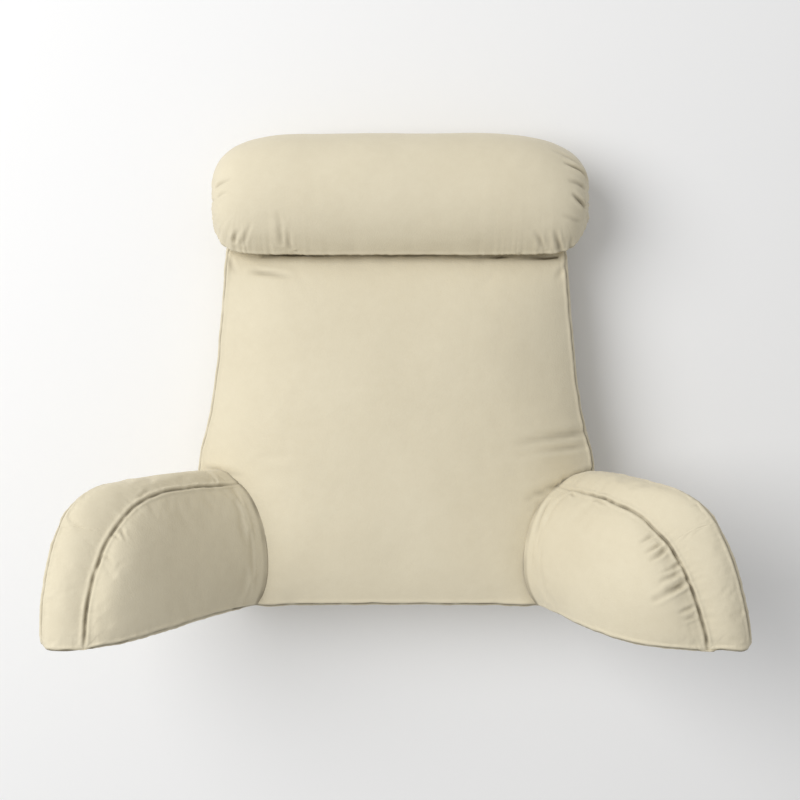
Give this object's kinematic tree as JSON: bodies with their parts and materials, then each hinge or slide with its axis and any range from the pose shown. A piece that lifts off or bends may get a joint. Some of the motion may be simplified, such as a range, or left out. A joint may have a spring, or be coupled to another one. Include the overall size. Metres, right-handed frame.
{
  "type": "reading pillow with arms",
  "caption": "Stuffed backrest cushion with a narrowing back, a round neck roll across its head end and a D-shaped armrest at each lower corner, in plain beige cloth, lying on its back.",
  "frame": {"origin": "on the surface the pillow lies on, under the middle of its outline", "axes": "+X across, towards the right of someone who looks at the front; +Y from the foot, which it stands on in use, to the head; +Z out of the front. It lies on its back. A quarter turn about X brings it upright on its foot."},
  "size_m": [0.92, 0.6717, 0.3844],
  "materials": {
    "backrest_cloth": "matte brushed cloth",
    "neck_roll_cloth": "matte brushed cloth",
    "arm_left_cloth": "matte brushed cloth",
    "arm_right_cloth": "matte brushed cloth"
  },
  "bodies": {
    "root": {"backrest": "backrest_cloth", "neck_roll": "neck_roll_cloth", "arm_left": "arm_left_cloth", "arm_right": "arm_right_cloth"}
  },
  "joints": []
}
